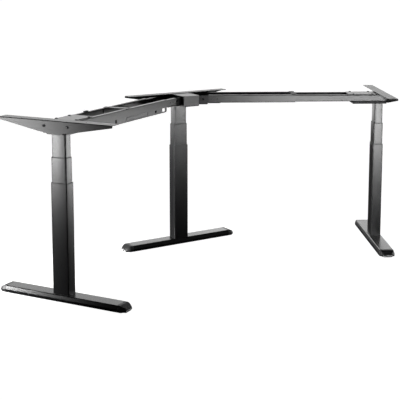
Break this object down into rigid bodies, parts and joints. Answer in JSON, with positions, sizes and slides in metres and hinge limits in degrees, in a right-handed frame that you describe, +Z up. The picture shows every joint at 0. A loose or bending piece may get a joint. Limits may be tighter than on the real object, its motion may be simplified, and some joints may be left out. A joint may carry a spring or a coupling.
{
  "type": "height adjustable desk frame",
  "caption": "Corner sit-stand desk frame with telescopic motor columns, two arms that meet at 120 degrees and brackets for a desktop.",
  "frame": {"origin": "on the floor, in the middle of the outline of the whole frame", "axes": "+Z up; -Y is the user's side; X runs across the frame, along the corner foot"},
  "size_m": [2.204, 0.873, 0.808],
  "materials": {
    "tube_coat": "satin black powder coat on drawn steel tube",
    "foot_coat": "satin black powder coat on a rolled steel foot",
    "bracket_coat": "satin black powder coat on pressed steel",
    "rail_coat": "satin black powder coat on rolled steel channel",
    "plate_coat": "satin black powder coat on flat sheet, pale where it faces the light",
    "black_nylon": "moulded black nylon",
    "glide_rubber": "moulded black rubber on a steel stem",
    "screw_steel": "rolled steel, oiled",
    "fastener_steel": "black zinc plated socket screws",
    "nut_acetal": "moulded natural acetal",
    "motor_paint": "black painted motor can and gearbox"
  },
  "bodies": {
    "corner_base": {"corner_foot": "foot_coat", "corner_foot_caps": "black_nylon", "corner_outer_tube": "tube_coat", "corner_lower_bush": "black_nylon", "corner_fixed_screw": "screw_steel"},
    "corner_middle": {"corner_middle_tube": "tube_coat", "corner_upper_bush": "black_nylon"},
    "corner_screw": {"corner_screw_tube": "screw_steel"},
    "hub": {"corner_inner_tube": "tube_coat", "corner_lift_nut": "nut_acetal", "corner_gear_motor": "motor_paint", "corner_hub_tray": "bracket_coat", "corner_top_plate": "plate_coat", "corner_bracket": "bracket_coat", "left_inner_rails": "rail_coat", "right_outer_rails": "rail_coat", "right_rail_clip": "plate_coat", "hub_screws": "fastener_steel"},
    "corner_drive": {"corner_drive_tube": "screw_steel"},
    "left_head": {"left_inner_tube": "tube_coat", "left_lift_nut": "nut_acetal", "left_gear_motor": "motor_paint", "left_head_tray": "bracket_coat", "left_top_plate": "plate_coat", "left_bracket": "bracket_coat", "left_outer_rails": "rail_coat", "left_cross_strap": "plate_coat", "left_screws": "fastener_steel"},
    "left_drive": {"left_drive_tube": "screw_steel"},
    "left_middle": {"left_middle_tube": "tube_coat", "left_upper_bush": "black_nylon"},
    "left_screw": {"left_screw_tube": "screw_steel"},
    "left_base": {"left_foot": "foot_coat", "left_foot_caps": "black_nylon", "left_outer_tube": "tube_coat", "left_lower_bush": "black_nylon", "left_fixed_screw": "screw_steel"},
    "right_head": {"right_inner_tube": "tube_coat", "right_lift_nut": "nut_acetal", "right_gear_motor": "motor_paint", "right_head_tray": "bracket_coat", "right_top_plate": "plate_coat", "right_bracket": "bracket_coat", "right_inner_rails": "rail_coat", "right_screws": "fastener_steel"},
    "right_drive": {"right_drive_tube": "screw_steel"},
    "right_middle": {"right_middle_tube": "tube_coat", "right_upper_bush": "black_nylon"},
    "right_screw": {"right_screw_tube": "screw_steel"},
    "right_base": {"right_foot": "foot_coat", "right_foot_caps": "black_nylon", "right_outer_tube": "tube_coat", "right_lower_bush": "black_nylon", "right_fixed_screw": "screw_steel"},
    "corner_glide_left": {"corner_glide_left": "glide_rubber"},
    "corner_glide_right": {"corner_glide_right": "glide_rubber"},
    "left_glide_front": {"left_glide_front": "glide_rubber"},
    "left_glide_rear": {"left_glide_rear": "glide_rubber"},
    "right_glide_front": {"right_glide_front": "glide_rubber"},
    "right_glide_rear": {"right_glide_rear": "glide_rubber"}
  },
  "joints": [
    {"name": "lift", "type": "slide", "parent": "corner_base", "child": "corner_middle", "axis": [0, 0, 1], "range_m": [-0.095, 0.225]},
    {"name": "hub_lift", "type": "slide", "parent": "corner_middle", "child": "hub", "axis": [0, 0, 1], "range_m": [-0.095, 0.225]},
    {"name": "corner_screw_turn", "type": "hinge", "parent": "corner_middle", "child": "corner_screw", "pos_m": [0, 0.39266, 0], "axis": [0, 0, 1], "range_deg": [-4300, 10150]},
    {"name": "corner_drive_turn", "type": "hinge", "parent": "hub", "child": "corner_drive", "pos_m": [0, 0.39266, 0], "axis": [0, 0, 1], "range_deg": [-4300, 10150]},
    {"name": "left_width", "type": "slide", "parent": "hub", "child": "left_head", "axis": [-0.866, -0.5, 0], "range_m": [-0.12, 0.14]},
    {"name": "left_upper_stage", "type": "slide", "parent": "left_head", "child": "left_middle", "axis": [0, 0, 1], "range_m": [-0.225, 0.095]},
    {"name": "left_lower_stage", "type": "slide", "parent": "left_middle", "child": "left_base", "axis": [0, 0, 1], "range_m": [-0.225, 0.095]},
    {"name": "left_drive_turn", "type": "hinge", "parent": "left_head", "child": "left_drive", "pos_m": [-0.90933, -0.13234, 0], "axis": [0, 0, 1], "range_deg": [-4300, 10150]},
    {"name": "left_screw_turn", "type": "hinge", "parent": "left_middle", "child": "left_screw", "pos_m": [-0.90933, -0.13234, 0], "axis": [0, 0, 1], "range_deg": [-4300, 10150]},
    {"name": "right_width", "type": "slide", "parent": "hub", "child": "right_head", "axis": [0.866, -0.5, 0], "range_m": [-0.12, 0.14]},
    {"name": "right_upper_stage", "type": "slide", "parent": "right_head", "child": "right_middle", "axis": [0, 0, 1], "range_m": [-0.225, 0.095]},
    {"name": "right_lower_stage", "type": "slide", "parent": "right_middle", "child": "right_base", "axis": [0, 0, 1], "range_m": [-0.225, 0.095]},
    {"name": "right_drive_turn", "type": "hinge", "parent": "right_head", "child": "right_drive", "pos_m": [0.90933, -0.13234, 0], "axis": [0, 0, 1], "range_deg": [-4300, 10150]},
    {"name": "right_screw_turn", "type": "hinge", "parent": "right_middle", "child": "right_screw", "pos_m": [0.90933, -0.13234, 0], "axis": [0, 0, 1], "range_deg": [-4300, 10150]},
    {"name": "corner_glide_left_height", "type": "slide", "parent": "corner_base", "child": "corner_glide_left", "axis": [0, 0, -1], "range_m": [0, 0.012]},
    {"name": "corner_glide_right_height", "type": "slide", "parent": "corner_base", "child": "corner_glide_right", "axis": [0, 0, -1], "range_m": [0, 0.012]},
    {"name": "left_glide_front_height", "type": "slide", "parent": "left_base", "child": "left_glide_front", "axis": [0, 0, -1], "range_m": [0, 0.012]},
    {"name": "left_glide_rear_height", "type": "slide", "parent": "left_base", "child": "left_glide_rear", "axis": [0, 0, -1], "range_m": [0, 0.012]},
    {"name": "right_glide_front_height", "type": "slide", "parent": "right_base", "child": "right_glide_front", "axis": [0, 0, -1], "range_m": [0, 0.012]},
    {"name": "right_glide_rear_height", "type": "slide", "parent": "right_base", "child": "right_glide_rear", "axis": [0, 0, -1], "range_m": [0, 0.012]}
  ],
  "couplings": [
    {"joint": "hub_lift", "follows": "lift", "ratio": 1},
    {"joint": "corner_screw_turn", "follows": "lift", "rad_per_m": 785.4},
    {"joint": "corner_drive_turn", "follows": "lift", "rad_per_m": 785.4},
    {"joint": "left_upper_stage", "follows": "lift", "ratio": -1},
    {"joint": "left_lower_stage", "follows": "lift", "ratio": -1},
    {"joint": "left_drive_turn", "follows": "lift", "rad_per_m": 785.4},
    {"joint": "left_screw_turn", "follows": "lift", "rad_per_m": 785.4},
    {"joint": "right_upper_stage", "follows": "lift", "ratio": -1},
    {"joint": "right_lower_stage", "follows": "lift", "ratio": -1},
    {"joint": "right_drive_turn", "follows": "lift", "rad_per_m": 785.4},
    {"joint": "right_screw_turn", "follows": "lift", "rad_per_m": 785.4}
  ]
}
